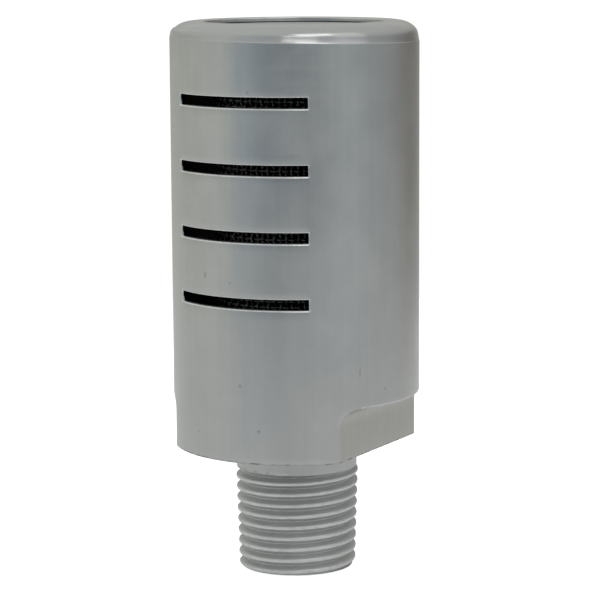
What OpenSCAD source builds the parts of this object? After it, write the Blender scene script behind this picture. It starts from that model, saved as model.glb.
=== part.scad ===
// Pneumatic exhaust muffler: a turned aluminium housing with a taper pipe thread, a rolled-in
// end cap and a wire cloth element that the air leaves through. Millimetres.
// Z = 0 is the free end of the thread, and +Z runs from the inlet to the closed end.
// The wrench flats face +X and -X. The columns of exhaust slots face -Y and +Y.

/* [Housing] */
// Outer diameter of the housing, 13/16 in
body_d = 20.64; // [20:0.02:23]
// Height of the housing above its lower face
body_h = 35.3; // [33:0.1:42]
// Wall around the chamber
wall = 0.5; // [0.4:0.05:0.7]
// Solid base between the lower face and the chamber floor
base_h = 4.8; // [4.7:0.1:7]
// Rounding of the lower outer edge
lower_edge_r = 0.15; // [0.05:0.05:0.6]

/* [Rolled rim] */
// Radial reach of the rounded shoulder
shoulder_w = 1.8; // [1.4:0.05:2.2]
// Height of the rounded shoulder
shoulder_h = 1.45; // [1.2:0.05:1.8]
// Thickness of the rolled lip
lip_t = 0.32; // [0.2:0.02:0.4]
// Diameter of the opening that the lip leaves
rim_open_d = 15.1; // [14:0.1:16]

/* [Exhaust slots] */
// Slots in each column
slot_rows = 4; // [1:1:4]
// Height of one slot, the width of the saw that cuts it
slot_h = 0.85; // [0.5:0.05:1.2]
// Distance from one slot to the next
slot_pitch = 5.37; // [4:0.01:6]
// Depth of the first slot's upper edge below the rim
slot_drop = 5.68; // [4:0.02:6]
// Angle around the axis that a slot spans
slot_angle = 70; // [40:1:80]

/* [Wrench flats] */
// Distance across the two flats
flat_af = 15.5; // [14.5:0.1:16.5]
// Height of the flats above the lower face
flat_h = 4.4; // [3:0.1:4.6]
// Corner radius of the cutter at the top of a flat
flat_fillet = 1.3; // [0.4:0.1:1.6]

/* [Thread] */
// Length of the threaded stub below the lower face
stub_h = 10.7; // [10.5:0.1:12]
// Diameter over the largest crest, 1/8-27 NPT
thread_d = 10.32; // [9.9:0.02:10.4]
// Pitch of 27 threads to the inch
thread_pitch = 0.9407; // [0.9:0.0001:0.97]
// Depth from crest to root
thread_depth = 0.5; // [0.4:0.02:0.72]
// Number of ridges
thread_ridges = 9; // [6:1:9]
// Height of the first crest above the thread's free end
thread_first_z = 0.48; // [0.3:0.01:0.6]
// Diameter of the plain collar between the thread and the lower face
collar_d = 10.1; // [9.6:0.02:10.3]
// Length of the plain collar
collar_h = 2; // [1.5:0.1:2.2]
// Diameter of the end face outside the chamfer
end_face_d = 9.3; // [8.4:0.1:9.6]
// Diameter of the air inlet, 1/4 in
inlet_d = 6.35; // [5:0.05:6.6]

/* [End cap] */
// Depth of the cap's seat below the rim
cap_seat_drop = 2.4; // [2.2:0.1:3]
// Gap between the cap's outer face and the underside of the rolled lip
cap_face_gap = 0.06; // [0.04:0.01:0.2]
// Radial clearance of the cap in the housing's mouth
cap_gap = 0.02; // [0.01:0.01:0.05]

/* [Element] */
// Diameter of the wire cloth, measured midway through the cloth
cloth_d = 12.8; // [12.4:0.1:13]
// Diameter of the cloth's wires
wire_d = 0.2; // [0.16:0.02:0.22]
// Number of upright wires around the cloth
warp_wires = 80; // [60:1:90]
// Distance between the hoop wires, 50 mesh
weft_pitch = 0.508; // [0.45:0.001:0.7]
// Outer diameter of the perforated core tube
core_d = 8.5; // [8.2:0.1:9]
// Sheet thickness of the core tube and the end rings
sheet_t = 0.3; // [0.2:0.05:0.3]
// Height of the end rings' flanges
flange_h = 1; // [0.8:0.1:1.4]
// Diameter of the core tube's perforations
core_hole_d = 1.6; // [1:0.1:2]
// Rows of perforations
core_hole_rows = 9; // [5:1:11]

/* [Hidden] */
$fn = 96;

// A taper pipe thread gains 1 mm of diameter in 16 mm of length
taper_per_mm = 1 / 32;
// Lands that leave 60 degrees between two flanks
crest_flat = 0.26;
root_flat = 0.1;
fit_gap = 0.02;
arc_steps = 10;
cap_chamfer_w = 1.1;
cut_extra = 1;
wire_fn = 32;

body_r = body_d / 2;
chamber_r = body_r - wall;
mouth_r = body_r - lip_t;
inlet_r = inlet_d / 2;
top_z = stub_h + body_h;
floor_z = stub_h + base_h;
seat_z = top_z - cap_seat_drop;
cap_face_z = top_z - lip_t - cap_face_gap;

// The end rings sit in shallow recesses in the chamber floor and in the end cap
recess_depth = 0.4;
warp_r = cloth_d / 2 + (wire_d + fit_gap) / 2;
weft_r = cloth_d / 2 - (wire_d + fit_gap) / 2;
ring_inside_r = warp_r + wire_d / 2 + 2 * fit_gap;
ring_outside_r = ring_inside_r + sheet_t;
recess_r = ring_outside_r + 2 * fit_gap;
core_r = core_d / 2;
core_bore_r = core_r - sheet_t;
ring_bore_r = core_bore_r - fit_gap - sheet_t;
element_z = floor_z - recess_depth + sheet_t + fit_gap;
element_top_z = seat_z + recess_depth - sheet_t - fit_gap;
element_h = element_top_z - element_z;

// Points of a quarter ellipse around (cr, cz), from its outermost point to its highest
function shoulder_arc(cr, cz, w, h) =
    [for (i = [0 : arc_steps]) let (a = 90 * i / arc_steps) [cr + w * cos(a), cz + h * sin(a)]];

// Crest radius of the thread at height z, largest at the crest below the collar
last_crest_z = thread_first_z + (thread_ridges - 1) * thread_pitch;
function crest_r(z) = thread_d / 2 - (last_crest_z - z) * taper_per_mm;

// One ridge: lower root, the two ends of its crest land, and upper root
function ridge(z) = [
    [crest_r(z) - thread_depth, z - (thread_pitch - root_flat) / 2],
    [crest_r(z), z - crest_flat / 2],
    [crest_r(z), z + crest_flat / 2],
    [crest_r(z) - thread_depth, z + (thread_pitch - root_flat) / 2]];

// The thread as closed ridges, which keep the pitch, depth and taper of the helix
function thread_points() =
    [for (i = [0 : thread_ridges - 1], p = ridge(thread_first_z + i * thread_pitch)) p];

// Section of the threaded stub, from its bore out to the crests and the collar
function stub_section() = concat(
    [[inlet_r, -cut_extra], [crest_r(0) - thread_depth, -cut_extra]],
    thread_points(),
    [[collar_d / 2, stub_h - collar_h], [collar_d / 2, stub_h], [inlet_r, stub_h]]);

// Section of the body: along its lower face, up the outside, over the lip and down the inside
function body_section() = concat(
    [[inlet_r, stub_h]],
    [for (i = [0 : arc_steps]) let (a = 90 * i / arc_steps)
        [body_r - lower_edge_r * (1 - sin(a)), stub_h + lower_edge_r * (1 - cos(a))]],
    shoulder_arc(body_r - shoulder_w, top_z - shoulder_h, shoulder_w, shoulder_h),
    [[rim_open_d / 2, top_z], [rim_open_d / 2, top_z - lip_t]],
    lip_underside(),
    [[mouth_r, seat_z], [chamber_r, seat_z], [chamber_r, floor_z], [recess_r, floor_z],
     [recess_r, floor_z - recess_depth], [inlet_r, floor_z - recess_depth]]);

// The underside of the lip, from the opening outwards and down to the mouth's wall
function lip_underside() =
    let (arc = shoulder_arc(body_r - shoulder_w, top_z - shoulder_h, shoulder_w - lip_t,
                            shoulder_h - lip_t))
    [for (i = [arc_steps : -1 : 0]) arc[i]];

// The housing is turned from bar in one piece, as the body here and the stub below. It is sawn
// and milled, and its lip is rolled over the end cap
module housing_body() {
    color([0.75, 0.76, 0.77])
    difference() {
        rotate_extrude() polygon(body_section());
        for (side = [0, 180]) {
            rotate([0, 0, side]) slot_column();
            rotate([0, 0, side]) flat_cutter();
        }
    }
}

// The housing's threaded stub, which meets the body at its lower face
module inlet_stub() {
    color([0.75, 0.76, 0.77])
    difference() {
        rotate_extrude() polygon(stub_section());
        thread_end();
    }
}

// Everything below the end face and outside the lead-in chamfer
module thread_end() {
    end_r = end_face_d / 2;
    chamfer_h = crest_r(0) - end_r + cut_extra;
    translate([0, 0, -2 * cut_extra]) cylinder(h = 2 * cut_extra, r = body_r);
    rotate_extrude()
        polygon([[end_r, 0], [end_r + chamfer_h, chamfer_h], [body_r, chamfer_h], [body_r, 0]]);
}

// Slots sawn straight in from -Y, with ends parallel to the saw's path
module slot_column() {
    half_w = body_r * sin(slot_angle / 2);
    inner_y = sqrt(pow(chamber_r, 2) - pow(half_w, 2)) - fit_gap;
    depth = body_r + cut_extra - inner_y;
    for (i = [0 : slot_rows - 1])
        translate([-half_w, -inner_y - depth, top_z - slot_drop - i * slot_pitch - slot_h])
            cube([2 * half_w, depth, slot_h]);
}

// One wrench flat milled on the +X side, with the cutter's corner radius at its top
module flat_cutter() {
    flat_x = flat_af / 2;
    corner = [flat_x + flat_fillet, stub_h + flat_h - flat_fillet];
    outline = concat(
        [[flat_x, stub_h - cut_extra], [body_r + cut_extra, stub_h - cut_extra],
         [body_r + cut_extra, stub_h + flat_h]],
        [for (i = [0 : arc_steps]) let (a = 90 + 90 * i / arc_steps)
            corner + flat_fillet * [cos(a), sin(a)]]);
    rotate([90, 0, 0]) linear_extrude(height = body_d, center = true) polygon(outline);
}

// Disc that closes the chamber, seated on the step in the mouth under the rolled lip
module end_cap() {
    cap_r = mouth_r - cap_gap;
    edge_z = top_z - shoulder_h;
    face_r = cap_r - cap_chamfer_w;
    color([0.72, 0.73, 0.74])
    rotate_extrude()
        polygon([[0, seat_z + recess_depth], [recess_r, seat_z + recess_depth], [recess_r, seat_z],
                 [cap_r, seat_z], [cap_r, edge_z], [face_r, cap_face_z], [0, cap_face_z]]);
}

// Pressed steel channel that holds the ends of the cloth, the felt and the core tube
module end_ring() {
    inner_wall_r = ring_bore_r + sheet_t;
    color([0.6, 0.61, 0.63])
    rotate_extrude()
        polygon([[ring_bore_r, 0], [ring_outside_r, 0], [ring_outside_r, flange_h],
                 [ring_inside_r, flange_h], [ring_inside_r, sheet_t], [inner_wall_r, sheet_t],
                 [inner_wall_r, flange_h], [ring_bore_r, flange_h]]);
}

module lower_end_ring() {
    translate([0, 0, floor_z - recess_depth]) end_ring();
}

module upper_end_ring() {
    translate([0, 0, seat_z + recess_depth]) mirror([0, 0, 1]) end_ring();
}

// The cloth's upright wires
module cloth_warp_wires() {
    color([0.45, 0.45, 0.44])
    for (i = [0 : warp_wires - 1])
        rotate([0, 0, 360 * i / warp_wires])
            translate([warp_r, 0, element_z])
                cylinder(h = element_h, d = wire_d, $fn = wire_fn);
}

// The cloth's hoop wires, drawn just inside the upright ones
module cloth_weft_wires() {
    count = floor((element_h - wire_d) / weft_pitch);
    first_z = element_z + (element_h - (count - 1) * weft_pitch) / 2;
    color([0.4, 0.4, 0.4])
    for (i = [0 : count - 1])
        translate([0, 0, first_z + i * weft_pitch])
            rotate_extrude()
                translate([weft_r, 0]) circle(d = wire_d, $fn = 6);
}

// Sound-absorbing felt sleeve between the cloth and the core tube
module felt_packing() {
    felt_r = weft_r - wire_d / 2 - fit_gap;
    color([0.16, 0.16, 0.17])
    difference() {
        translate([0, 0, element_z]) cylinder(h = element_h, r = felt_r);
        translate([0, 0, element_z - cut_extra])
            cylinder(h = element_h + 2 * cut_extra, r = core_r + fit_gap);
    }
}

// Perforated tube that spreads the incoming air along the element
module core_tube() {
    row_pitch = element_h / (core_hole_rows + 1);
    color([0.66, 0.67, 0.69])
    difference() {
        translate([0, 0, element_z]) cylinder(h = element_h, r = core_r);
        translate([0, 0, element_z - cut_extra])
            cylinder(h = element_h + 2 * cut_extra, r = core_bore_r);
        for (row = [1 : core_hole_rows], turn = [0, 60, 120])
            translate([0, 0, element_z + row * row_pitch])
                rotate([90, 0, turn + 30 * (row % 2)])
                    cylinder(h = core_d + 2 * cut_extra, d = core_hole_d, center = true);
    }
}

housing_body();
inlet_stub();
end_cap();
lower_end_ring();
upper_end_ring();
cloth_warp_wires();
cloth_weft_wires();
felt_packing();
core_tube();
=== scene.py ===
"""Visual model of the pneumatic muffler, in the CAD frame.

Lengths in the tables below are millimetres. MM turns them into Blender's metres.
Z = 0 is the thread's free end, the wrench flats face +X and -X, and the slots face -Y and +Y.
"""

import math

import bpy
import numpy as np
from mathutils import Matrix, Vector


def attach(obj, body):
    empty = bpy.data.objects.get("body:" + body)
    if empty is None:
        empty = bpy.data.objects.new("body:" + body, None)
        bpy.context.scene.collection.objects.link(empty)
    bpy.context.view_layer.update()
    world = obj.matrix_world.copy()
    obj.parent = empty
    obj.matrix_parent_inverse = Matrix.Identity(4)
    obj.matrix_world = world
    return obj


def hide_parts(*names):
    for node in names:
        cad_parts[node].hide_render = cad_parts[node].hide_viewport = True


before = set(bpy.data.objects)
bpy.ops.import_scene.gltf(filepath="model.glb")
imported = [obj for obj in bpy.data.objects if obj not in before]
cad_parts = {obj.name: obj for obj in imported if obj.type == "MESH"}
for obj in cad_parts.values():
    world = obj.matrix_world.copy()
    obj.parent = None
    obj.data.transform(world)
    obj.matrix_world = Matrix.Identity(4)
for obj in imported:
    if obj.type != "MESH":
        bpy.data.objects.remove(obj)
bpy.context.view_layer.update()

MM = 0.001
TURN = 2 * math.pi
rng = np.random.default_rng(27)

# ---------------------------------------------------------------- sizes
BODY_R = 10.32
STUB_H = 10.7
TOP_Z = 46.0
WALL = 0.5
SHOULDER_W, SHOULDER_H = 1.8, 1.45
OPEN_R = 7.55
LIP_T = 0.32
# the lip's cut edge is dragged down a little by the roller
LIP_BURR = 0.365
CREASE_Z = 44.53
# foot of the shoulder, as (distance inside the wall's radius, height): a round, a shallow facet and the
# small step at the crease, each running from corner to corner and bent toward the point between them
FOOT_CORNERS = (0.395, 45.455), (0.18, 45.08), (0.063, 44.635), (0.001, 44.545)
FOOT_BENDS = (0.23, 45.305), (0.13, 44.84), (0.042, 44.572)
FOOT_STEPS = 6, 6, 4
# the crease is not quite square with the axis: it drops this far on the camera's right
CREASE_LEAN = 0.22
# the foot takes up the radii from this far inside the wall, and grows fuller to either side
FOOT_REACH, FOOT_FULLER = 0.45, 0.5
# heights between which the foot leans, below the top and below the crease, and how far each end fades
LEAN_BELOW_TOP, LEAN_BELOW_CREASE, LEAN_FADE = 0.45, 1.0, 0.7
SEAT_Z = 43.6
FLOOR_Z = 15.5
RECESS = 0.4
RECESS_R = 6.99
INLET_R = 3.175
MOUTH_R = BODY_R - LIP_T
CHAMBER_R = BODY_R - WALL
LOWER_EDGE = 0.15

SLOT_ROWS, SLOT_H, SLOT_PITCH, SLOT_DROP = 4, 0.85, 5.37, 5.68
SLOT_HALF_ANGLE = math.radians(35.0)
SLOT_EDGE_UP, SLOT_EDGE_LOW = 0.08, 0.17

FLAT_X, FLAT_H, FLAT_FILLET = 7.75, 4.4, 1.3
FLAT_ROLL_OFF, FLAT_ROLL_START = 0.05, 4.3

PITCH = 0.9407
CREST_Z0 = 0.48
CREST_R_TOP = 5.16
LAST_CREST_Z = CREST_Z0 + 8 * PITCH
TAPER = 1 / 32
THREAD_DEPTH = 0.5
COLLAR_R, COLLAR_H = 5.05, 2.0
END_FACE_R = 4.65
END_ASKEW = 0.09

# the camera: turned from -Y toward +X, then how far back, to the right and up it stands
CAMERA_AZ = math.radians(29.3)
CAMERA_ANGLE = CAMERA_AZ - math.pi / 2
CAMERA_BACK, CAMERA_RIGHT, CAMERA_UP = 202.8, -0.083, 53.72
CAMERA_TILT, CAMERA_ROLL = math.radians(8.59), 0.0062
CAMERA_LENS = 149.2
ASKEW_ANGLE = CAMERA_ANGLE + math.radians(65)


# ---------------------------------------------------------------- mesh helpers
def make_object(name, verts_mm, faces, sharp_deg=38.0):
    """A smooth-shaded mesh object from millimetre vertices, sharp where faces meet steeply."""
    mesh = bpy.data.meshes.new(name)
    mesh.from_pydata((np.asarray(verts_mm) * MM).tolist(), [], faces)
    mesh.validate()
    mesh.shade_smooth()
    mesh.set_sharp_from_angle(angle=math.radians(sharp_deg))
    obj = bpy.data.objects.new(name, mesh)
    bpy.context.scene.collection.objects.link(obj)
    return obj


def set_layer(obj, name, values):
    """Store one value for each vertex, which the metals read by name."""
    layer = obj.data.attributes.new(name, "FLOAT", "POINT")
    layer.data.foreach_set("value", np.asarray(values, dtype=np.float32))


def ring_verts(theta, r, z):
    """Vertices of one ring. theta, r and z may be arrays or numbers."""
    theta, r, z = np.broadcast_arrays(theta, r, z)
    return np.column_stack([r * np.cos(theta), r * np.sin(theta), z])


def smooth_min(a, b, k):
    """The smaller of a and b, rounded over a width of about k where they meet."""
    h = np.clip(0.5 + 0.5 * (b - a) / k, 0, 1)
    return b + (a - b) * h - k * h * (1 - h)


def smoothstep(a, b, x):
    t = np.clip((x - a) / (b - a), 0, 1)
    return t * t * (3 - 2 * t)


def wave_noise(theta, z, seed, count=9, around=(2, 14), along=(0.2, 1.6)):
    """Smooth random ripple over angle and height, within about plus or minus 1."""
    r = np.random.default_rng(seed)
    out = 0.0
    for _ in range(count):
        m = r.integers(*around)
        k = r.uniform(*along) * r.choice([-1, 1])
        out = out + np.cos(m * theta + k * z + r.uniform(0, TURN))
    return out / math.sqrt(count) / 1.4


# ---------------------------------------------------------------- housing body
def body_angles():
    """Column angles: 1.5 degrees apart, closer at the flats' edges and at the slots' ends."""
    deg = list(np.arange(0, 360, 1.5))
    for side in (0, 180):
        for s in (-1, 1):
            deg += list((side + s * np.arange(30.5, 46, 1.0)) % 360)
    edge_deg = math.degrees(SLOT_EDGE_UP / BODY_R)
    for centre in (-90, 90):
        for s in (-1, 1):
            for f in (0, 0.12, 0.35, 0.65, 1):
                deg.append((centre + s * (35 + f * edge_deg)) % 360)
    deg = np.unique(np.round(deg, 6))
    keep = [deg[0]]
    special = {round((c + s * (35 + f * edge_deg)) % 360, 6)
               for c in (-90, 90) for s in (-1, 1) for f in (0, 0.12, 0.35, 0.65, 1)}
    for d in deg[1:]:
        near = d - keep[-1] < 0.08
        if near and d not in special and keep[-1] in special:
            continue
        if near and d in special and keep[-1] not in special:
            keep[-1] = d
            continue
        keep.append(d)
    return np.radians(np.array(keep))


def slot_spans():
    """(lower edge, upper edge) of each slot, from the top one down."""
    tops = [TOP_Z - SLOT_DROP - i * SLOT_PITCH for i in range(SLOT_ROWS)]
    return [(t - SLOT_H, t) for t in tops]


def slot_angle_of(theta):
    """Angle from the nearer slot column's middle."""
    a = np.abs((np.degrees(theta) + 90 + 180) % 360 - 180)
    b = np.abs((np.degrees(theta) - 90 + 180) % 360 - 180)
    return np.radians(np.minimum(a, b))


def slot_rounding(theta, z):
    """How far the wall's surface sinks at a slot's softened edge, more at the lower edge."""
    out = np.zeros(np.broadcast(theta, z).shape)
    across = (slot_angle_of(theta) - SLOT_HALF_ANGLE) * BODY_R / SLOT_EDGE_UP
    for low, high in slot_spans():
        edge = SLOT_EDGE_LOW if z < (low + high) / 2 else SLOT_EDGE_UP
        up = max(low - z, z - high) / edge
        d = np.where((across > 0) & (up > 0), np.hypot(across, up), np.maximum(across, up))
        d = 1 - np.clip(d, 0, 1)
        size = edge + (SLOT_EDGE_UP - edge) * np.clip(across, 0, 1)
        out = np.maximum(out, size * (1 - np.sqrt(1 - d * d)))
    return out


def flat_angle(theta):
    """Angle from the nearer flat's normal."""
    return np.abs((theta + math.pi / 2) % math.pi - math.pi / 2)


def flat_radius(theta, flat_x, edge=0.14):
    """Radius of the cylinder cut by flats at plus and minus flat_x, with tumbled edges."""
    away = np.cos(flat_angle(theta))
    across = flat_x * np.tan(np.minimum(flat_angle(theta), 1.2))
    worn = FLAT_ROLL_OFF * np.clip((across - FLAT_ROLL_START) / (6.8 - FLAT_ROLL_START), 0, 1) ** 2
    cut = (flat_x - worn) / np.maximum(away, 0.05)
    return np.minimum(smooth_min(np.minimum(cut, 40.0), BODY_R, edge), BODY_R)


def bend(start, toward, end, steps):
    """Points along a quadratic curve, without its first."""
    t = np.linspace(0, 1, steps + 1)[1:, None]
    curve = (1 - t)**2 * np.array(start) + 2 * t * (1 - t) * np.array(toward) + t**2 * np.array(end)
    return [tuple(point) for point in curve]


def outer_profile():
    """(r, z) of the lip and the shoulder, from the lip's cut edge outwards and down to the crease."""
    pts = [(OPEN_R, TOP_Z - 0.26), (OPEN_R, TOP_Z - 0.18), (OPEN_R, TOP_Z - 0.1),
           (OPEN_R + 0.015, TOP_Z - 0.05), (OPEN_R + 0.05, TOP_Z - 0.015), (OPEN_R + 0.12, TOP_Z)]
    flat_end = BODY_R - SHOULDER_W
    for t in (0.3, 0.6, 0.85):
        pts.append((OPEN_R + 0.12 + t * (flat_end - OPEN_R - 0.12), TOP_Z))
    for a in np.radians(np.linspace(90, 42, 14)):
        pts.append((flat_end + SHOULDER_W * math.cos(a), TOP_Z - SHOULDER_H + SHOULDER_H * math.sin(a)))
    foot = [FOOT_CORNERS[0]]
    for start, toward, end, steps in zip(FOOT_CORNERS, FOOT_BENDS, FOOT_CORNERS[1:], FOOT_STEPS):
        foot += bend(start, toward, end, steps)
    pts += [(BODY_R - inset, z) for inset, z in foot]
    return pts


def body_rings(theta):
    """Every ring of the body in order, and the ring numbers at each slot's edges."""
    rings, marks = [], {}
    for r, z in outer_profile():
        rings.append(ring_verts(theta, r, z))

    def wall_ring(z, name=None):
        r = BODY_R - slot_rounding(theta, z)
        rings.append(ring_verts(theta, r, z))
        if name is not None:
            marks[name] = len(rings) - 1

    steps = (1.0, 0.65, 0.35, 0.12)
    z = CREASE_Z
    for dz in (0.0, 0.04, 0.12, 0.28, 0.5):
        wall_ring(z - dz)
    z -= 0.5
    for i, (low, high) in enumerate(slot_spans()):
        for zz in np.linspace(z, high + SLOT_EDGE_UP, 9)[1:-1]:
            wall_ring(zz)
        for f in steps:
            wall_ring(high + f * SLOT_EDGE_UP)
        wall_ring(high, ("outer", i, "top"))
        for f in (0.25, 0.5, 0.75):
            wall_ring(high - f * SLOT_H)
        wall_ring(low, ("outer", i, "bottom"))
        for f in reversed(steps):
            wall_ring(low - f * SLOT_EDGE_LOW)
        z = low - SLOT_EDGE_LOW
    flat_top = STUB_H + FLAT_H
    for zz in np.linspace(z, flat_top + 0.5, 12)[1:]:
        wall_ring(zz)

    # the ledge over each flat, rounded where it meets the wall
    edge = 0.12
    fillet_x = FLAT_X + FLAT_FILLET
    r0 = flat_radius(theta, fillet_x, 0.05)
    has_ledge = smoothstep(0.0, 2 * edge, BODY_R - r0)
    wall_ring(flat_top + 0.25)
    for t in (1.0, 0.97, 0.93, 0.88, 0.8, 0.65, 0.45, 0.25, 0.1, 0.0):
        r = r0 + (BODY_R - r0) * t
        inside = np.clip((r - (BODY_R - edge)) / edge, 0, 1)
        lift = edge * (1 - np.sqrt(1 - inside**2))
        z_ledge = flat_top + has_ledge * lift + (1 - has_ledge) * edge * (t * 1.0)
        rings.append(ring_verts(theta, r, z_ledge))
    for a in np.radians((82, 74, 66, 58, 50, 42, 34, 26, 18, 10, 0)):
        x = fillet_x - FLAT_FILLET * math.cos(a)
        zz = flat_top - FLAT_FILLET + FLAT_FILLET * math.sin(a)
        rings.append(ring_verts(theta, flat_radius(theta, x), zz))
    r_flat = flat_radius(theta, FLAT_X)
    low_z = STUB_H + LOWER_EDGE
    for zz in np.linspace(flat_top - FLAT_FILLET, low_z, 8)[1:]:
        rings.append(ring_verts(theta, r_flat, zz))
    for a in np.radians((18, 36, 54, 72, 90)):
        rings.append(ring_verts(theta, r_flat - LOWER_EDGE * (1 - math.cos(a)),
                                STUB_H + LOWER_EDGE * (1 - math.sin(a))))
    r_in = r_flat - LOWER_EDGE
    for t in (0.12, 0.3, 0.5, 0.7, 0.88, 1.0):
        rings.append(ring_verts(theta, r_in + (COLLAR_R - 0.02 - r_in) * t, STUB_H))
    rings.append(ring_verts(theta, INLET_R + 0.1, STUB_H))
    rings.append(ring_verts(theta, INLET_R, STUB_H + 0.1))

    # inside: bore, seat of the lower end ring, chamber floor, wall, mouth and the lip's underside
    base_z = FLOOR_Z - RECESS
    for zz in (STUB_H + 1.5, base_z - 1.0, base_z - 0.1):
        rings.append(ring_verts(theta, INLET_R, zz))
    for r, zz in ((INLET_R + 0.1, base_z), (RECESS_R * 0.75, base_z), (RECESS_R, base_z),
                  (RECESS_R, FLOOR_Z), (8.4, FLOOR_Z), (CHAMBER_R - 0.2, FLOOR_Z),
                  (CHAMBER_R - 0.06, FLOOR_Z + 0.06), (CHAMBER_R, FLOOR_Z + 0.2)):
        rings.append(ring_verts(theta, r, zz))
    inner = inner_angles(theta)
    z = FLOOR_Z + 0.2
    rings.append(ring_verts(inner, CHAMBER_R, z + 1.0))
    z += 1.0
    for i, (low, high) in reversed(list(enumerate(slot_spans()))):
        for zz in np.linspace(z, low, 5)[1:-1]:
            rings.append(ring_verts(inner, CHAMBER_R, zz))
        rings.append(ring_verts(inner, CHAMBER_R, low))
        marks["inner", i, "bottom"] = len(rings) - 1
        for f in (0.75, 0.5, 0.25):
            rings.append(ring_verts(inner, CHAMBER_R, high - f * SLOT_H))
        rings.append(ring_verts(inner, CHAMBER_R, high))
        marks["inner", i, "top"] = len(rings) - 1
        z = high
    rings.append(ring_verts(inner, CHAMBER_R, z + 1.0))
    for r, zz in ((CHAMBER_R, SEAT_Z - 0.05), (CHAMBER_R + 0.03, SEAT_Z), (MOUTH_R, SEAT_Z),
                  (MOUTH_R, SEAT_Z + 0.3)):
        rings.append(ring_verts(theta, r, zz))
    for a in np.radians(np.linspace(0, 90, 11)):
        rings.append(ring_verts(theta, BODY_R - SHOULDER_W + (SHOULDER_W - LIP_T) * math.cos(a),
                                TOP_Z - SHOULDER_H + (SHOULDER_H - LIP_T) * math.sin(a)))
    rings.append(ring_verts(theta, OPEN_R + 0.4, TOP_Z - LIP_T))
    rings.append(ring_verts(theta, OPEN_R + 0.07, TOP_Z - LIP_BURR))
    rings.append(ring_verts(theta, OPEN_R + 0.015, TOP_Z - LIP_BURR + 0.02))
    return rings, marks


def inner_angles(theta):
    """Column angles on the chamber wall, where the slots' straight ends land further round."""
    out = theta.copy()
    end_in = math.asin(min(1.0, BODY_R * math.sin(SLOT_HALF_ANGLE) / CHAMBER_R))
    for centre in (-math.pi / 2, math.pi / 2):
        rel = (theta - centre + math.pi) % TURN - math.pi
        mag = np.abs(rel)
        near = mag <= math.pi / 2
        inside = np.arcsin(np.clip(BODY_R * np.sin(np.minimum(mag, SLOT_HALF_ANGLE)) / CHAMBER_R, 0, 1))
        past = end_in + (mag - SLOT_HALF_ANGLE) * (math.pi / 2 - end_in) / (math.pi / 2 - SLOT_HALF_ANGLE)
        new = np.where(mag <= SLOT_HALF_ANGLE + 1e-7, inside, past) * np.sign(rel)
        out = np.where(near, centre + new, out)
    return out


def flat_cut(theta, z):
    """Distance of the flats' cutter from the body's axis along this direction, at each height."""
    rise = np.clip((z - (STUB_H + FLAT_H - FLAT_FILLET)) / FLAT_FILLET, 0, 1)
    x = FLAT_X + FLAT_FILLET * (1 - np.sqrt(1 - rise**2))
    cut = x / np.maximum(np.cos(flat_angle(theta)), 0.05)
    return np.where(z < STUB_H + FLAT_H + 0.02, cut, 40.0)


# how much lighter each edge is painted, from 0 to 1: partly rubbed bare metal, partly painted highlight
WEAR_HIGHLIGHT_LOWER_EDGE, WEAR_HIGHLIGHT_UPPER_EDGE, WEAR_HIGHLIGHT_SLOT_END, WEAR_HIGHLIGHT_LEDGE, WEAR_HIGHLIGHT_LIP = 1.0, 0.75, 0.45, 0.6, 0.5
WEAR_HIGHLIGHT_SHARE = 0.8
LEDGE_ANGLE = 0.53
NEAR = 0.01


def body_wear_and_highlight(theta, r, z):
    """Share of lighter colour along the slots' edges, the ledges and the lip's cut: rubbed bare metal and
    painted highlight.
    """
    worn = np.zeros(len(r))
    across = (slot_angle_of(theta) - SLOT_HALF_ANGLE) * BODY_R
    outside = r > CHAMBER_R + 0.3
    for low, high in slot_spans():
        below, above = low - z, z - high
        near = (across < SLOT_EDGE_UP) & outside
        # the slots' lower edges face the light above and get the strongest painted highlight
        worn[near & (below > -NEAR) & (below < SLOT_EDGE_LOW * WEAR_HIGHLIGHT_SHARE)] = WEAR_HIGHLIGHT_LOWER_EDGE
        worn[near & (above > -NEAR) & (above < SLOT_EDGE_UP * WEAR_HIGHLIGHT_SHARE)] = WEAR_HIGHLIGHT_UPPER_EDGE
        beside = (across > -NEAR) & (across < SLOT_EDGE_UP * WEAR_HIGHLIGHT_SHARE) & outside
        worn[beside & (below < 0) & (above < 0)] = WEAR_HIGHLIGHT_SLOT_END
    over_flat = (np.abs(z - STUB_H - FLAT_H - 0.03) < 0.06) & (r > BODY_R - 0.1)
    worn[over_flat & (flat_angle(theta) < LEDGE_ANGLE)] = WEAR_HIGHLIGHT_LEDGE
    worn[(r < OPEN_R + 0.08) & (z > TOP_Z - LIP_BURR - 0.001)] = WEAR_HIGHLIGHT_LIP
    return worn


def body_lower_edge_shade(theta, r, z):
    """1 along the lower outer edge, where painted shade darkens the body's foot next to the collar."""
    edge_r = np.minimum(BODY_R, flat_cut(theta, z)) - LOWER_EDGE
    return ((z > STUB_H - NEAR) & (z < STUB_H + LOWER_EDGE + NEAR) & (r > edge_r - NEAR)).astype(float)


def body_milled(theta, r, z):
    """1 on the wrench flats and their fillets, 0 on the turned surface."""
    cut = flat_cut(theta, z)
    return np.clip((BODY_R - cut) / 0.25, 0, 1) * (np.abs(r - cut) < 0.3) * (z > STUB_H - NEAR)


def lean_crease(verts, r):
    """Tip the foot of the shoulder a little, and make it fuller toward the camera's sides."""
    z = verts[:, 2]
    share = np.clip((TOP_Z - LEAN_BELOW_TOP - z) / LEAN_FADE, 0, 1)
    share *= np.clip((z - CREASE_Z + LEAN_BELOW_CREASE) / LEAN_FADE, 0, 1)
    to_right = (verts[:, 0] * math.cos(CAMERA_AZ) + verts[:, 1] * math.sin(CAMERA_AZ)) / BODY_R
    outer = r > BODY_R - FOOT_REACH
    fuller = 1 + FOOT_FULLER * share * to_right**2 * (outer & (z > CREASE_Z)) * (BODY_R - r) / r
    leaned = verts.copy()
    leaned[:, :2] *= fuller[:, None]
    leaned[:, 2] -= CREASE_LEAN * share * to_right * outer
    return leaned


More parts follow.
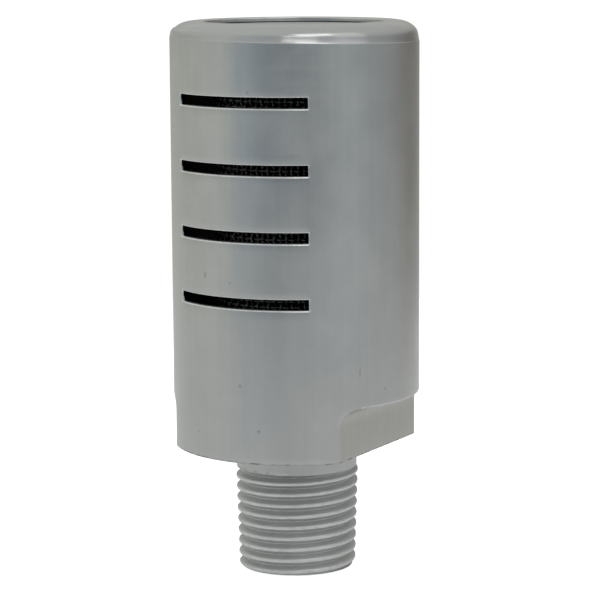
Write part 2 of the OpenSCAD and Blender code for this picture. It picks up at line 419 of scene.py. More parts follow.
def build_body():
    theta = body_angles()
    n = len(theta)
    rings, marks = body_rings(theta)
    verts = np.concatenate(rings)
    in_slot = slot_angle_of(theta) <= SLOT_HALF_ANGLE + 1e-6
    cell_in_slot = in_slot & np.roll(in_slot, -1)
    skipped = {}
    for i in range(SLOT_ROWS):
        for side in ("outer", "inner"):
            a, b = sorted((marks[side, i, "top"], marks[side, i, "bottom"]))
            for k in range(a, b):
                skipped[k] = True
    faces = []
    count = len(rings)
    for k in range(count):
        nxt = (k + 1) % count
        for j in range(n):
            if k in skipped and cell_in_slot[j]:
                continue
            j2 = (j + 1) % n
            faces.append((k * n + j, k * n + j2, nxt * n + j2, nxt * n + j))
    # walls of the slots, from the outer skin to the chamber
    for i in range(SLOT_ROWS):
        out_top, out_low = marks["outer", i, "top"], marks["outer", i, "bottom"]
        in_top, in_low = marks["inner", i, "top"], marks["inner", i, "bottom"]
        for j in range(n):
            j2 = (j + 1) % n
            if not cell_in_slot[j]:
                continue
            faces.append((out_top * n + j, out_top * n + j2, in_top * n + j2, in_top * n + j))
            faces.append((in_low * n + j, in_low * n + j2, out_low * n + j2, out_low * n + j))
        starts = [j for j in range(n) if cell_in_slot[j] and not cell_in_slot[j - 1]]
        ends = [(j + 1) % n for j in range(n) if cell_in_slot[j] and not cell_in_slot[(j + 1) % n]]
        for s in range(out_low - out_top):
            o1, o2 = out_top + s, out_top + s + 1
            i1, i2 = in_top - s, in_top - s - 1
            for j in starts:
                faces.append((o1 * n + j, i1 * n + j, i2 * n + j, o2 * n + j))
            for j in ends:
                faces.append((o1 * n + j, o2 * n + j, i2 * n + j, i1 * n + j))
    used = np.zeros(len(verts), bool)
    used[np.array([v for f in faces for v in f])] = True
    renumber = np.cumsum(used) - 1
    faces = [tuple(int(renumber[v]) for v in f) for f in faces]
    kept = verts[used]
    polar = np.arctan2(kept[:, 1], kept[:, 0]), np.hypot(kept[:, 0], kept[:, 1]), kept[:, 2]
    kept = lean_crease(kept, polar[1])
    obj = make_object("muffler_body", kept, faces)
    set_layer(obj, "wear_and_highlight", body_wear_and_highlight(*polar))
    set_layer(obj, "milled", body_milled(*polar))
    set_layer(obj, "lower_edge_shade", body_lower_edge_shade(*polar))
    set_layer(obj, "burnished", np.clip((polar[2] - CREASE_Z) / 0.015, 0, 1))
    return obj


# ---------------------------------------------------------------- threaded stub
def crest_radius(z):
    return CREST_R_TOP - (LAST_CREST_Z - z) * TAPER


# axial distance from a crest, as a share of the pitch, and the depth there as a share of full depth
THREAD_SHAPE = ((-0.5, 1.0), (-0.45, 0.965), (-0.41, 0.88), (-0.34, 0.655), (-0.27, 0.43), (-0.2, 0.215),
                (-0.165, 0.125), (-0.13, 0.06), (-0.08, 0.018), (0.0, 0.0), (0.08, 0.018), (0.13, 0.06),
                (0.165, 0.125), (0.2, 0.215), (0.27, 0.43), (0.34, 0.655), (0.41, 0.88), (0.45, 0.965))


def thread_surface(theta, z, depth_share):
    """Radius of the threaded surface, with the end chamfer and the runout under the collar."""
    fade = 1 - smoothstep(LAST_CREST_Z + 0.35 * PITCH, LAST_CREST_Z + 0.95 * PITCH, z)
    crest = crest_radius(np.minimum(z, LAST_CREST_Z))
    crest = crest + (COLLAR_R - crest) * (1 - fade)
    r = crest - THREAD_DEPTH * depth_share * fade
    r = r + 0.012 * wave_noise(theta, z, 5, around=(3, 40), along=(1.0, 9.0))
    return smooth_min(r, END_FACE_R + np.maximum(z, 0) * 1.0, 0.06)


def build_stub():
    cols = 360
    theta = CAMERA_ANGLE + TURN * np.arange(cols + 1) / cols
    share_of_turn = np.arange(cols + 1) / cols
    z_low, z_high = 0.0, STUB_H - COLLAR_H
    shape = THREAD_SHAPE
    per = len(shape)
    first, last = -2, int(math.ceil((z_high - CREST_Z0) / PITCH)) + 1
    rows = []
    for k in range(first, last + 1):
        for u, d in shape:
            base = CREST_Z0 + (k + u) * PITCH
            rows.append((base, d))
    verts, faces = [], []
    grid = np.zeros((len(rows), cols + 1, 3))
    from_crest = (z_low - CREST_Z0) / PITCH - share_of_turn
    from_crest -= np.round(from_crest)
    end_depth = np.interp(from_crest, [u for u, _ in shape] + [0.5], [d for _, d in shape] + [1.0])
    end_r = thread_surface(theta, z_low, end_depth)
    for i, (base, d) in enumerate(rows):
        z = np.clip(base + share_of_turn * PITCH, z_low, z_high)
        r = thread_surface(theta, z, d)
        r = np.where(z >= z_high - 1e-9, COLLAR_R, r)
        r = np.where(z <= z_low + 1e-9, end_r, r)
        grid[i] = ring_verts(theta, r, z)
    # the last column lies on the first column of the row one turn up, so it takes those vertices
    ids = np.zeros((len(rows), cols + 1), int)
    lookup = {}

    def vertex(i, j):
        p = grid[i, j]
        if j == cols and i + per < len(rows):
            return vertex(i + per, 0)
        if p[2] >= z_high - 1e-9:
            key = ("top", j % cols)
        elif p[2] <= z_low + 1e-9:
            key = ("low", j % cols)
        else:
            key = (i, j)
        if key not in lookup:
            lookup[key] = len(verts)
            verts.append(tuple(p))
        return lookup[key]

    for i in range(len(rows)):
        for j in range(cols + 1):
            ids[i, j] = vertex(i, j)
    for i in range(len(rows) - 1):
        for j in range(cols):
            quad = [ids[i, j], ids[i, j + 1], ids[i + 1, j + 1], ids[i + 1, j]]
            face = []
            for v in quad:
                if v not in face:
                    face.append(int(v))
            if len(face) >= 3:
                faces.append(tuple(face))
    low_ring = [lookup["low", j] for j in range(cols)]
    top_ring = [lookup["top", j] for j in range(cols)]
    ring_theta = theta[:cols]

    def add_ring(r, z):
        start = len(verts)
        verts.extend(map(tuple, ring_verts(ring_theta, r, z)))
        return list(range(start, start + cols))

    def join(a, b):
        for j in range(cols):
            j2 = (j + 1) % cols
            faces.append((a[j], a[j2], b[j2], b[j]))

    # collar, small fillet under the body and the top, which sits just inside the body's base
    previous = top_ring
    for r, z in ((COLLAR_R, z_high + 0.3), (COLLAR_R, z_high + 1.2), (COLLAR_R, STUB_H - 0.2),
                 (COLLAR_R + 0.03, STUB_H - 0.08), (COLLAR_R + 0.1, STUB_H), (COLLAR_R - 0.3, STUB_H + 0.04),
                 (INLET_R + 0.3, STUB_H + 0.04), (INLET_R, STUB_H + 0.04), (INLET_R, STUB_H - 1),
                 (INLET_R, 5), (INLET_R, 0.2), (INLET_R + 0.08, 0.05), (INLET_R + 0.2, 0.0),
                 (END_FACE_R - 0.3, 0.0)):
        ring = add_ring(r, z)
        join(previous, ring)
        previous = ring
    join(previous, low_ring)
    verts = np.array(verts)
    # the end was parted off slightly askew
    radius = np.hypot(verts[:, 0], verts[:, 1])
    toward = np.cos(np.arctan2(verts[:, 1], verts[:, 0]) - ASKEW_ANGLE)
    near_end = np.clip(1 - verts[:, 2] / 0.45, 0, 1) * np.clip((radius - 3.3) / 0.5, 0, 1)
    verts[:, 2] += END_ASKEW * (1 + toward) / 2 * near_end
    obj = make_object("threaded_stub", verts, faces, sharp_deg=50)
    on_thread = (verts[:, 2] < LAST_CREST_Z + 0.3 * PITCH) & (radius > 3.5)
    from_crest = crest_radius(verts[:, 2]) - radius
    # thread crests painted lighter: rubbed metal and painted highlight
    set_layer(obj, "wear_and_highlight", np.where(on_thread, 0.5 * np.clip(1 - from_crest / 0.09, 0, 1), 0.0))
    return obj


# ---------------------------------------------------------------- end cap
def build_cap():
    n = 240
    theta = np.arange(n) * TURN / n
    cap_r = MOUTH_R - 0.02
    face_z = TOP_Z - LIP_T - 0.085
    chamfer = 1.1
    profile = [(0.25, face_z - 0.16), (0.5, face_z - 0.03), (0.62, face_z - 0.012)]
    for r in np.linspace(0.9, cap_r - chamfer, 22):
        profile.append((r, face_z - 0.02 * math.cos(math.pi * r / (cap_r - chamfer)) ** 2))
    profile += [(cap_r - chamfer / 2, face_z - 0.53), (cap_r - 0.02, TOP_Z - SHOULDER_H + 0.02),
                (cap_r, TOP_Z - SHOULDER_H - 0.03), (cap_r, SEAT_Z + 0.05), (cap_r - 0.05, SEAT_Z),
                (RECESS_R, SEAT_Z), (RECESS_R, SEAT_Z + RECESS), (4.0, SEAT_Z + RECESS),
                (1.0, SEAT_Z + RECESS)]
    rings = [ring_verts(theta, r, z) for r, z in profile]
    verts = np.concatenate(rings + [np.array([[0, 0, face_z - 0.2]]), np.array([[0, 0, SEAT_Z + RECESS]])])
    faces = []
    for k in range(len(rings) - 1):
        for j in range(n):
            j2 = (j + 1) % n
            faces.append((k * n + j, (k + 1) * n + j, (k + 1) * n + j2, k * n + j2))
    top, low = len(rings) * n, len(rings) * n + 1
    last = (len(rings) - 1) * n
    for j in range(n):
        j2 = (j + 1) % n
        faces.append((top, j, j2))
        faces.append((low, last + j2, last + j))
    return make_object("closing_cap", verts, faces)


# ---------------------------------------------------------------- wire cloth
CLOTH_R, WIRE_R, WEAVE = 6.4, 0.1, 0.106
WARPS, WEFTS, WEFT_PITCH = 80, 55, 0.508
ELEMENT_Z, ELEMENT_TOP = 15.42, 43.68
FIRST_WEFT = ELEMENT_Z + (ELEMENT_TOP - ELEMENT_Z - (WEFTS - 1) * WEFT_PITCH) / 2
SIDES = 5


def sweep(centres, side_dir, up_dir, closed):
    """A tube of SIDES sides along centres. side_dir and up_dir span its cross-section at each point."""
    n = len(centres)
    a = TURN * np.arange(SIDES) / SIDES
    offs = (np.cos(a)[None, :, None] * side_dir[:, None, :] + np.sin(a)[None, :, None] * up_dir[:, None, :])
    verts = (centres[:, None, :] + WIRE_R * offs).reshape(-1, 3)
    faces = []
    for i in range(n if closed else n - 1):
        i2 = (i + 1) % n
        for s in range(SIDES):
            s2 = (s + 1) % SIDES
            faces.append((i * SIDES + s, i * SIDES + s2, i2 * SIDES + s2, i2 * SIDES + s))
    if not closed:
        faces.append(tuple(range(SIDES - 1, -1, -1)))
        faces.append(tuple((n - 1) * SIDES + s for s in range(SIDES)))
    return verts, faces


def gather(tubes, name):
    verts, faces, base = [], [], 0
    for v, f in tubes:
        verts.append(v)
        faces += [tuple(i + base for i in face) for face in f]
        base += len(v)
    return make_object(name, np.concatenate(verts), faces, sharp_deg=75)


def build_cloth():
    per = 4
    warps = []
    count = int(round((ELEMENT_TOP - ELEMENT_Z) / WEFT_PITCH * per))
    z = np.linspace(ELEMENT_Z, ELEMENT_TOP, count + 1)
    for j in range(WARPS):
        angle = TURN * (j + rng.normal(0, 0.035)) / WARPS
        r = CLOTH_R + WEAVE * np.cos(math.pi * (z - FIRST_WEFT) / WEFT_PITCH + math.pi * j)
        out = np.tile([math.cos(angle), math.sin(angle), 0.0], (len(z), 1))
        side = np.tile([-math.sin(angle), math.cos(angle), 0.0], (len(z), 1))
        centres = out * r[:, None] + np.column_stack([0 * z, 0 * z, z])
        warps.append(sweep(centres, out, side, False))
    wefts = []
    t = TURN * np.arange(WARPS * per) / (WARPS * per)
    for i in range(WEFTS):
        zi = FIRST_WEFT + i * WEFT_PITCH + rng.normal(0, 0.012)
        r = CLOTH_R - WEAVE * np.cos(WARPS / 2 * t) * (-1) ** i
        out = np.column_stack([np.cos(t), np.sin(t), 0 * t])
        up = np.tile([0.0, 0.0, 1.0], (len(t), 1))
        centres = out * r[:, None] + np.column_stack([0 * t, 0 * t, 0 * t + zi])
        wefts.append(sweep(centres, up, out, True))
    return gather(warps, "woven_warp"), gather(wefts, "woven_weft")


# ---------------------------------------------------------------- felt
def build_felt():
    n = 260
    theta = np.arange(n) * TURN / n
    r_out, r_in = 6.1, 4.29
    profile = [(r_out, z) for z in np.linspace(ELEMENT_Z + 0.06, ELEMENT_TOP - 0.06, 120)]
    profile += [(r_out - 0.1, ELEMENT_TOP), (r_in + 0.1, ELEMENT_TOP)]
    profile += [(r_in, z) for z in np.linspace(ELEMENT_TOP - 0.06, ELEMENT_Z + 0.06, 12)]
    profile += [(r_in + 0.1, ELEMENT_Z), (r_out - 0.1, ELEMENT_Z)]
    rings = []
    fibre = np.random.default_rng(4)
    for r, z in profile:
        rough = fibre.normal(0, 0.02, n) if r > 5.9 else 0
        soft = 0.03 * wave_noise(theta, z, 8, around=(5, 60), along=(1.0, 12.0)) if r > 5.9 else 0
        rings.append(ring_verts(theta, np.minimum(r + rough + soft, 6.16), z))
    verts = np.concatenate(rings)
    faces = []
    m = len(rings)
    for k in range(m):
        k2 = (k + 1) % m
        for j in range(n):
            j2 = (j + 1) % n
            faces.append((k * n + j, k * n + j2, k2 * n + j2, k2 * n + j))
    return make_object("felt_sleeve", verts, faces)


# ---------------------------------------------------------------- materials
class Nodes:
    """Short calls for building one material's node tree."""

    def __init__(self, name):
        self.mat = bpy.data.materials.new(name)
        self.mat.use_nodes = True
        self.tree = self.mat.node_tree
        self.tree.nodes.clear()
        self.out = self.tree.nodes.new("ShaderNodeOutputMaterial")
        self.bsdf = self.tree.nodes.new("ShaderNodeBsdfPrincipled")
        self.link(self.bsdf.outputs[0], self.out.inputs["Surface"])
        self.coord = self.tree.nodes.new("ShaderNodeTexCoord").outputs["Object"]

    def link(self, a, b):
        self.tree.links.new(a, b)

    def feed(self, socket, value):
        if isinstance(value, bpy.types.NodeSocket):
            self.link(value, socket)
        else:
            socket.default_value = value

    def node(self, kind, **settings):
        n = self.tree.nodes.new(kind)
        for k, v in settings.items():
            setattr(n, k, v)
        return n

    def mapped(self, scale):
        n = self.node("ShaderNodeMapping")
        self.link(self.coord, n.inputs["Vector"])
        n.inputs["Scale"].default_value = scale
        return n.outputs[0]

    def noise(self, scale, detail=2.0, rough=0.5, coord=None, distortion=0.0):
        n = self.node("ShaderNodeTexNoise")
        self.link(coord or self.coord, n.inputs["Vector"])
        n.inputs["Scale"].default_value = scale
        n.inputs["Detail"].default_value = detail
        n.inputs["Roughness"].default_value = rough
        n.inputs["Distortion"].default_value = distortion
        return n.outputs["Fac"]

    def voronoi(self, scale, coord=None):
        n = self.node("ShaderNodeTexVoronoi", feature="F1")
        self.link(coord or self.coord, n.inputs["Vector"])
        n.inputs["Scale"].default_value = scale
        return n

    def math(self, op, a, b=0.0):
        n = self.node("ShaderNodeMath", operation=op)
        for i, v in enumerate((a, b)):
            self.feed(n.inputs[i], v)
        return n.outputs[0]

    def span(self, value, lo, hi, to_lo=0.0, to_hi=1.0):
        """value from lo..hi to to_lo..to_hi, clamped."""
        n = self.node("ShaderNodeMapRange")
        self.feed(n.inputs["Value"], value)
        for k, v in (("From Min", lo), ("From Max", hi), ("To Min", to_lo), ("To Max", to_hi)):
            n.inputs[k].default_value = v
        return n.outputs[0]

    def spot(self, centre_mm, radius_mm, stretch):
        """1 at a point, falling to 0 at radius_mm from it, stretched along Z."""
        off = self.node("ShaderNodeVectorMath", operation="SUBTRACT")
        self.link(self.coord, off.inputs[0])
        off.inputs[1].default_value = [c * MM for c in centre_mm]
        squeeze = self.node("ShaderNodeVectorMath", operation="MULTIPLY")
        self.link(off.outputs[0], squeeze.inputs[0])
        squeeze.inputs[1].default_value = (1, 1, 1 / stretch)
        length = self.node("ShaderNodeVectorMath", operation="LENGTH")
        self.link(squeeze.outputs[0], length.inputs[0])
        return self.span(length.outputs["Value"], 0.3 * radius_mm * MM, radius_mm * MM, 1.0, 0.0)

    def mix(self, fac, a, b):
        n = self.node("ShaderNodeMix", data_type="RGBA")
        self.feed(n.inputs["Factor"], fac)
        self.feed(n.inputs[6], a)
        self.feed(n.inputs[7], b)
        return n.outputs[2]

    def bump(self, height, distance, strength):
        n = self.node("ShaderNodeBump")
        self.feed(n.inputs["Height"], height)
        n.inputs["Distance"].default_value = distance
        n.inputs["Strength"].default_value = strength
        return n.outputs[0]


def grey(v, warm=0.0):
    return (v * (1 + warm), v, v * (1 - warm), 1)


def tinted(v, red, blue):
    return (v * red, v, v * blue, 1)


# dents and smudges on the body: degrees round from -Y toward +X, height, radius, upright stretch
MARKS = [
    (3.1, 17.1, 0.22, 1.6), (12.1, 13.5, 0.22, 1.0), (-21.6, 12.9, 0.2, 1.2), (-16.1, 25.9, 0.26, 2.0),
    (73.4, 16.5, 0.22, 1.0), (59.0, 18.1, 0.14, 5.0), (150.0, 21.0, 0.24, 1.5), (212.0, 33.0, 0.2, 2.0),
    (258.0, 18.5, 0.22, 1.0), (118.0, 37.5, 0.16, 4.0), (300.0, 28.0, 0.2, 1.4),
]


def aluminium(name, base, rough, turned=0.5, marks=(), shaded_chamber=False):
    """Turned and tumbled aluminium: lathe lines, peened speckle, pits and scratches, edges painted lighter
    as rubbed metal and painted highlight, and painted shade along the lower edge and on the chamber's inner
    wall.
    """
    m = Nodes(name)
    lines = m.noise(1.0, 3, 0.7, m.mapped((60, 60, 9000)))
    lines_soft = m.noise(1.0, 2, 0.5, m.mapped((90, 90, 2200)))
    speck = m.noise(5200, 2, 0.6)
    blotch = m.noise(300, 4, 0.6)
    broad = m.noise(85, 2, 0.5)
    streak = m.noise(1.0, 3, 0.65, m.mapped((1500, 1500, 70)))
    pit_cells = m.voronoi(420)
    pit = m.span(pit_cells.outputs["Distance"], 0.0, 0.07, 1.0, 0.0)
    pit = m.math("MULTIPLY", pit, m.span(m.noise(170, 1), 0.57, 0.63))
    scratch_cells = m.voronoi(1.0, m.mapped((500, 500, 90)))
    scratch = m.span(scratch_cells.outputs["Distance"], 0.0, 0.035, 1.0, 0.0)
    shade = m.math("ADD", m.span(blotch, 0.3, 0.7, -0.5, 0.5), m.span(broad, 0.3, 0.7, -0.4, 0.4))
    shade = m.math("ADD", shade, m.span(streak, 0.3, 0.7, -0.25, 0.25))
    colour = m.mix(m.span(shade, -1.0, 1.0), tinted(base * 0.9, 0.992, 1.012),
                   tinted(base * 1.08, 1.0, 0.99))
    # darkening: pits, scratches and smears are dirt, and the lower-edge line added below is painted shade
    dirt_and_shade = m.math("MAXIMUM", m.math("MULTIPLY", pit, 0.55), m.math("MULTIPLY", scratch, 0.14))
    dent = 0.0
    for degrees, z, radius, stretch in marks:
        t = math.radians(degrees)
        spot = m.spot((BODY_R * math.sin(t), -BODY_R * math.cos(t), z), 0.72 * radius, stretch)
        dent = spot if isinstance(dent, float) else m.math("MAXIMUM", dent, spot)
    if marks:
        smear = m.math("MULTIPLY", dent, m.span(m.noise(2600, 2), 0.3, 0.62, 0.05, 0.4))
        dirt_and_shade = m.math("MAXIMUM", dirt_and_shade, smear)
        # painted shade: a speckled dark line along the body's lower edge, where it meets the collar
        lower_edge_shade = m.node("ShaderNodeAttribute", attribute_name="lower_edge_shade").outputs["Fac"]
        apart = m.node("ShaderNodeSeparateXYZ")
        m.link(m.coord, apart.inputs[0])
        low = m.span(apart.outputs[2], (STUB_H + 0.1) * MM, (STUB_H + 0.2) * MM, 1.0, 0.0)
        speckled_edge_shade = m.span(m.noise(1300, 2), 0.5, 0.6, 0.15, 0.8)
        speckled_edge_shade = m.math("MULTIPLY", speckled_edge_shade, m.math("MULTIPLY", low, m.span(lower_edge_shade, 0.75, 1.0)))
        dirt_and_shade = m.math("MAXIMUM", dirt_and_shade, speckled_edge_shade)
    # edges painted lighter, as rubbed bare metal and as painted highlight
    wear_and_highlight = m.node("ShaderNodeAttribute", attribute_name="wear_and_highlight").outputs["Fac"]
    wear_and_highlight = m.math("MULTIPLY", wear_and_highlight, m.span(m.noise(1500, 3, 0.7), 0.3, 0.6, 0.45, 1.0))
    milled = m.node("ShaderNodeAttribute", attribute_name="milled").outputs["Fac"]
    colour = m.mix(m.math("MULTIPLY", milled, 0.9), colour, m.mix(
        m.span(m.noise(1.0, 3, 0.6, m.mapped((2400, 2400, 120))), 0.3, 0.7),
        tinted(base * 0.81, 1.02, 0.955), tinted(base * 0.86, 1.02, 0.96)))
    burnished = m.node("ShaderNodeAttribute", attribute_name="burnished").outputs["Fac"]
    colour = m.mix(m.math("MULTIPLY", burnished, 0.5), colour, grey(base * 1.2))
    colour = m.mix(wear_and_highlight, colour, grey(min(base * 1.7, 0.93)))
    colour = m.mix(dirt_and_shade, colour, tinted(base * 0.3, 0.97, 1.02))
    if shaded_chamber:
        # painted shade: the chamber's inner wall is painted near black, as little light reaches it through
        # the slots
        apart = m.node("ShaderNodeSeparateXYZ")
        m.link(m.coord, apart.inputs[0])
        x2 = m.math("MULTIPLY", apart.outputs[0], apart.outputs[0])
        y2 = m.math("MULTIPLY", apart.outputs[1], apart.outputs[1])
        radius = m.math("SQRT", m.math("ADD", x2, y2))
        chamber_shade = m.span(radius, (CHAMBER_R + 0.02) * MM, (CHAMBER_R + 0.3) * MM, 1.0, 0.0)
        chamber_shade = m.math("MULTIPLY", chamber_shade, m.span(apart.outputs[2], FLOOR_Z * MM, (FLOOR_Z + 1) * MM))
        chamber_shade = m.math("MULTIPLY", chamber_shade, m.span(apart.outputs[2], SEAT_Z * MM, (SEAT_Z + 0.3) * MM, 1, 0))
        colour = m.mix(chamber_shade, colour, grey(0.03, 0.02))
    m.link(colour, m.bsdf.inputs["Base Color"])
    m.bsdf.inputs["Metallic"].default_value = 1.0
    m.bsdf.inputs["Anisotropic"].default_value = turned
    m.bsdf.inputs["Anisotropic Rotation"].default_value = 0.25
    r = m.math("ADD", m.span(blotch, 0.3, 0.7, rough - 0.03, rough + 0.03),
               m.math("ADD", m.span(lines, 0.3, 0.7, -0.03, 0.03), m.math("MULTIPLY", dirt_and_shade, 0.2)))
    r = m.math("MULTIPLY", r, m.span(burnished, 0, 1, 1.0, 0.62))
    m.link(r, m.bsdf.inputs["Roughness"])
    height = m.math("ADD", m.math("MULTIPLY", lines, 0.4), m.math("MULTIPLY", lines_soft, 0.35))
    height = m.math("ADD", height, m.math("MULTIPLY", speck, 0.5))
    height = m.math("SUBTRACT", height, m.math("MULTIPLY", pit, 6.0))
    if marks:
        height = m.math("SUBTRACT", height, m.math("MULTIPLY", dent, 5.0))
    m.link(m.bump(height, 0.004 * MM, 0.6), m.bsdf.inputs["Normal"])
    return m.mat


def steel_wire():
    m = Nodes("wire_steel")
    grime = m.noise(900, 3, 0.6)
    fine = m.noise(6000, 2, 0.5)
    colour = m.mix(m.span(grime, 0.35, 0.65), grey(0.30, 0.01), grey(0.46, 0.0))
    m.link(colour, m.bsdf.inputs["Base Color"])
    m.bsdf.inputs["Metallic"].default_value = 1.0
    m.link(m.span(fine, 0.3, 0.7, 0.32, 0.5), m.bsdf.inputs["Roughness"])
    m.link(m.bump(fine, 0.004 * MM, 0.5), m.bsdf.inputs["Normal"])
    return m.mat


def pressed_steel():
    m = Nodes("sheet_steel")
    rolled = m.noise(1.0, 3, 0.6, m.mapped((2500, 2500, 200)))
    blotch = m.noise(300, 3, 0.5)
    colour = m.mix(m.span(blotch, 0.3, 0.7), grey(0.38, 0.0), grey(0.5, 0.01))
    m.link(colour, m.bsdf.inputs["Base Color"])
    m.bsdf.inputs["Metallic"].default_value = 1.0
    m.link(m.span(rolled, 0.3, 0.7, 0.3, 0.48), m.bsdf.inputs["Roughness"])
    m.link(m.bump(rolled, 0.006 * MM, 0.5), m.bsdf.inputs["Normal"])
    return m.mat


def felt_fibre():
    m = Nodes("felt_fibre")
    fibre = m.noise(1.0, 4, 0.75, m.mapped((5000, 5000, 1800)), 1.2)
    clump = m.noise(1100, 3, 0.6)
    mixed = m.math("ADD", m.math("MULTIPLY", fibre, 0.6), m.math("MULTIPLY", clump, 0.4))
    colour = m.mix(m.span(mixed, 0.35, 0.65), grey(0.006, 0.0), grey(0.03, 0.0))
    m.link(colour, m.bsdf.inputs["Base Color"])
    m.bsdf.inputs["Roughness"].default_value = 0.95
    m.bsdf.inputs["Specular IOR Level"].default_value = 0.2
    m.link(m.bump(mixed, 0.08 * MM, 0.9), m.bsdf.inputs["Normal"])
    return m.mat


def paint(obj, mat):
    obj.data.materials.clear()
    obj.data.materials.append(mat)
    return obj


# ---------------------------------------------------------------- pieces
body_metal = aluminium("body_aluminium", 0.5, 0.33, marks=MARKS, shaded_chamber=True)
thread_metal = aluminium("thread_aluminium", 0.56, 0.46)
cap_metal = aluminium("cap_aluminium_faced", 0.46, 0.42)
wire = steel_wire()
sheet_metal = pressed_steel()
felt_mat = felt_fibre()

body = paint(build_body(), body_metal)
stub = paint(build_stub(), thread_metal)
cap = paint(build_cap(), cap_metal)
warp, weft = build_cloth()
paint(warp, wire)
paint(weft, wire)
felt = paint(build_felt(), felt_mat)

for piece, node, slot_name in (
    (body, "housing_body", "housing_aluminium"),
    (stub, "inlet_stub", "housing_aluminium"),
    (cap, "end_cap", "cap_aluminium"),
    (warp, "cloth_warp_wires", "wire_cloth"),
    (weft, "cloth_weft_wires", "wire_cloth"),
    (felt, "felt_packing", "felt"),
):
    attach(piece, "root")
    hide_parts(node)

for node in ("lower_end_ring", "upper_end_ring", "core_tube"):
    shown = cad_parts[node]
    if shown.material_slots:
        for s in shown.material_slots:
            s.material = sheet_metal
    else:
        shown.data.materials.append(sheet_metal)


# ---------------------------------------------------------------- floor, lights, camera
# floor: glow seen by the camera, then its tone and lift as the metal reflects it
FLOOR_R = 150
FLOOR_GLOW = 0.8
FLOOR_DIM = 0.85
FLOOR_LIFT = 0.185
FLOOR_GAP = 0.01
AIM_Z = 20
# tone of the surroundings by degrees from behind the camera, positive to the camera's right
AROUND = [
    (-180, (0.49, 0.50, 0.465)),
    (-130, (0.565, 0.58, 0.53)),
    (-72, (0.62, 0.645, 0.595)),
    (-48, (0.345, 0.413, 0.455)),
    (-20, (0.195, 0.242, 0.272)),
    (8, (0.213, 0.247, 0.271)),
    (50, (0.405, 0.45, 0.465)),
    (90, (0.345, 0.372, 0.372)),
    (135, (0.262, 0.249, 0.225)),
    (180, (0.49, 0.50, 0.465)),
]
AROUND_GAIN = 0.953
# gain on that tone by the sine of the height, and how much of the ceiling's tone replaces it
UP = [(-1, 1.66), (-0.2, 1.6), (-0.1, 1.06), (-0.03, 0.96), (0.1, 0.93), (1, 0.93)]
RISE = [(-1, 0), (0.1, 0), (0.42, 0.62), (0.75, 0.88), (1, 0.88)]
CEILING = (0.665, 0.68, 0.66)


def stage_floor():
    """A plain pale disc under the part."""
    n, rings = 96, 10
    t = np.arange(n) * TURN / n
    verts = np.concatenate([np.zeros((1, 3))] + [
        ring_verts(t, FLOOR_R * (k + 1) / rings, 0.0) for k in range(rings)])
    verts[:, 2] = -FLOOR_GAP
    faces = [(0, 1 + j, 1 + (j + 1) % n) for j in range(n)]
    for k in range(rings - 1):
        for j in range(n):
            j2 = (j + 1) % n
            a, b = 1 + k * n, 1 + (k + 1) * n
            faces.append((a + j, b + j, b + j2, a + j2))
    floor = make_object("studio_floor", verts, faces)
    m = Nodes("floor_paper")
    m.bsdf.inputs["Base Color"].default_value = (0.85, 0.85, 0.85, 1)
    m.bsdf.inputs["Roughness"].default_value = 0.9
    m.bsdf.inputs["Specular IOR Level"].default_value = 0.1
    m.bsdf.inputs["Emission Color"].default_value = (1, 1, 1, 1)
    m.bsdf.inputs["Emission Strength"].default_value = FLOOR_GLOW
    dim = m.node("ShaderNodeBsdfDiffuse")
    dim.inputs["Color"].default_value = (FLOOR_DIM, FLOOR_DIM, FLOOR_DIM, 1)
    glow = m.node("ShaderNodeEmission")
    glow.inputs["Strength"].default_value = FLOOR_LIFT
    both = m.node("ShaderNodeAddShader")
    m.link(dim.outputs[0], both.inputs[0])
    m.link(glow.outputs[0], both.inputs[1])
    path = m.node("ShaderNodeLightPath")
    pick = m.node("ShaderNodeMixShader")
    m.link(path.outputs["Is Camera Ray"], pick.inputs[0])
    m.link(both.outputs[0], pick.inputs[1])
    m.link(m.bsdf.outputs[0], pick.inputs[2])
    m.link(pick.outputs[0], m.out.inputs["Surface"])
    paint(floor, m.mat)


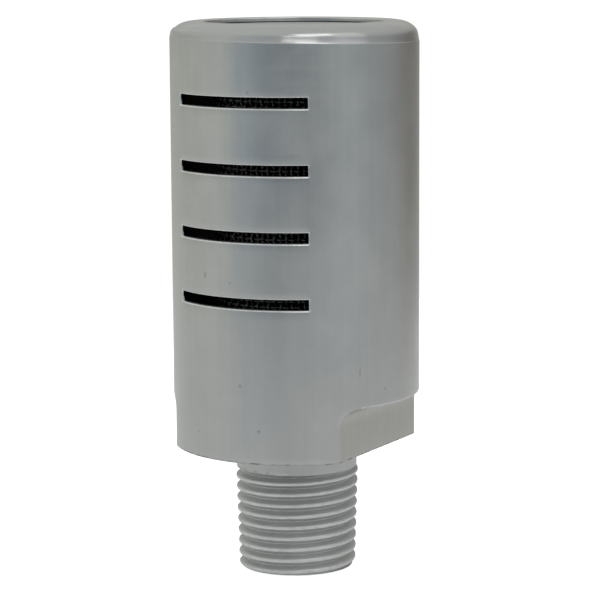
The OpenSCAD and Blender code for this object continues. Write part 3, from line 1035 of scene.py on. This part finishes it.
def studio_world(around, up, ceiling, rise):
    """Soft surroundings: a tone around the horizon times a gain with height, white to the camera."""
    world = bpy.data.worlds.new("studio")
    bpy.context.scene.world = world
    world.use_nodes = True
    tree = world.node_tree
    tree.nodes.clear()
    new, link = tree.nodes.new, tree.links.new
    coord = new("ShaderNodeTexCoord")
    turn = new("ShaderNodeMapping")
    turn.vector_type = "POINT"
    turn.inputs["Rotation"].default_value = (0, 0, -CAMERA_ANGLE)
    link(coord.outputs["Generated"], turn.inputs["Vector"])
    split = new("ShaderNodeSeparateXYZ")
    link(turn.outputs[0], split.inputs[0])
    angle = new("ShaderNodeMath")
    angle.operation = "ARCTAN2"
    link(split.outputs[1], angle.inputs[0])
    link(split.outputs[0], angle.inputs[1])
    to_share = new("ShaderNodeMapRange")
    link(angle.outputs[0], to_share.inputs["Value"])
    to_share.inputs["From Min"].default_value = -math.pi
    to_share.inputs["From Max"].default_value = math.pi
    ramp = new("ShaderNodeValToRGB")
    ramp.color_ramp.interpolation = "EASE"
    set_ramp(ramp, [((d + 180) / 360, [AROUND_GAIN * v for v in tone]) for d, tone in around])
    link(to_share.outputs[0], ramp.inputs[0])
    height = new("ShaderNodeMapRange")
    link(split.outputs[2], height.inputs["Value"])
    height.inputs["From Min"].default_value = -1
    height.inputs["From Max"].default_value = 1
    gain = new("ShaderNodeValToRGB")
    gain.color_ramp.interpolation = "EASE"
    set_ramp(gain, [((h + 1) / 2, (g, g, g)) for h, g in up])
    link(height.outputs[0], gain.inputs[0])
    mult = new("ShaderNodeMix")
    mult.data_type = "RGBA"
    mult.blend_type = "MULTIPLY"
    mult.inputs["Factor"].default_value = 1
    link(ramp.outputs[0], mult.inputs[6])
    link(gain.outputs[0], mult.inputs[7])
    overhead = new("ShaderNodeValToRGB")
    overhead.color_ramp.interpolation = "EASE"
    set_ramp(overhead, [((h + 1) / 2, (f, f, f)) for h, f in rise])
    link(height.outputs[0], overhead.inputs[0])
    blend = new("ShaderNodeMix")
    blend.data_type = "RGBA"
    link(overhead.outputs[0], blend.inputs["Factor"])
    link(mult.outputs[2], blend.inputs[6])
    blend.inputs[7].default_value = (*ceiling, 1)
    lit = new("ShaderNodeBackground")
    link(blend.outputs[2], lit.inputs["Color"])
    seen = new("ShaderNodeBackground")
    seen.inputs["Color"].default_value = (1, 1, 1, 1)
    seen.inputs["Strength"].default_value = 1.05
    path = new("ShaderNodeLightPath")
    pick = new("ShaderNodeMixShader")
    link(path.outputs["Is Camera Ray"], pick.inputs[0])
    link(lit.outputs[0], pick.inputs[1])
    link(seen.outputs[0], pick.inputs[2])
    out = new("ShaderNodeOutputWorld")
    link(pick.outputs[0], out.inputs["Surface"])


def set_ramp(ramp, stops):
    els = ramp.color_ramp.elements
    while len(els) > 1:
        els.remove(els[-1])
    els[0].position = stops[0][0]
    els[0].color = (*stops[0][1], 1)
    for pos, c in stops[1:]:
        e = els.new(pos)
        e.color = (*c, 1)


def softbox(name, at_mm, size_mm, watts):
    """A white rectangular light at so far ahead, right and up, turned to the middle of the part."""
    data = bpy.data.lights.new(name, "AREA")
    data.shape = "RECTANGLE"
    data.size, data.size_y = size_mm[0] * MM, size_mm[1] * MM
    data.energy = watts
    obj = bpy.data.objects.new(name, data)
    obj.location = Vector(at_mm[0] * ahead + at_mm[1] * right + at_mm[2] * up) * MM
    aim = Vector((0, 0, AIM_Z * MM)) - obj.location
    obj.rotation_mode = "QUATERNION"
    obj.rotation_quaternion = aim.to_track_quat("-Z", "Y")
    bpy.context.scene.collection.objects.link(obj)


right = np.array([math.cos(CAMERA_AZ), math.sin(CAMERA_AZ), 0])
ahead = np.array([-math.sin(CAMERA_AZ), math.cos(CAMERA_AZ), 0])
up = np.array([0, 0, 1.0])

stage_floor()
studio_world(AROUND, UP, CEILING, RISE)
softbox("front_softbox", (-345, 36, 245), (200, 80), 0.038)
softbox("top_softbox", (-280, 105, 345), (215, 190), 0.125)
softbox("side_softbox", (-190, 271, 305), (240, 300), 0.055)

camera_data = bpy.data.cameras.new("camera")
camera_data.sensor_width = 36
camera_data.lens = CAMERA_LENS
camera_data.clip_start = 0.005
camera_data.clip_end = 20
camera = bpy.data.objects.new("camera", camera_data)
bpy.context.scene.collection.objects.link(camera)
look = math.cos(CAMERA_TILT) * ahead - math.sin(CAMERA_TILT) * up
cam_up = np.cross(right, look)
side = math.cos(CAMERA_ROLL) * right - math.sin(CAMERA_ROLL) * cam_up
cam_up = math.sin(CAMERA_ROLL) * right + math.cos(CAMERA_ROLL) * cam_up
place = CAMERA_RIGHT * right - CAMERA_BACK * ahead + CAMERA_UP * up
camera.matrix_world = Matrix((
    (side[0], cam_up[0], -look[0], place[0] * MM),
    (side[1], cam_up[1], -look[1], place[1] * MM),
    (side[2], cam_up[2], -look[2], place[2] * MM),
    (0, 0, 0, 1)))
bpy.context.scene.camera = camera

bpy.context.scene.view_settings.view_transform = "Standard"
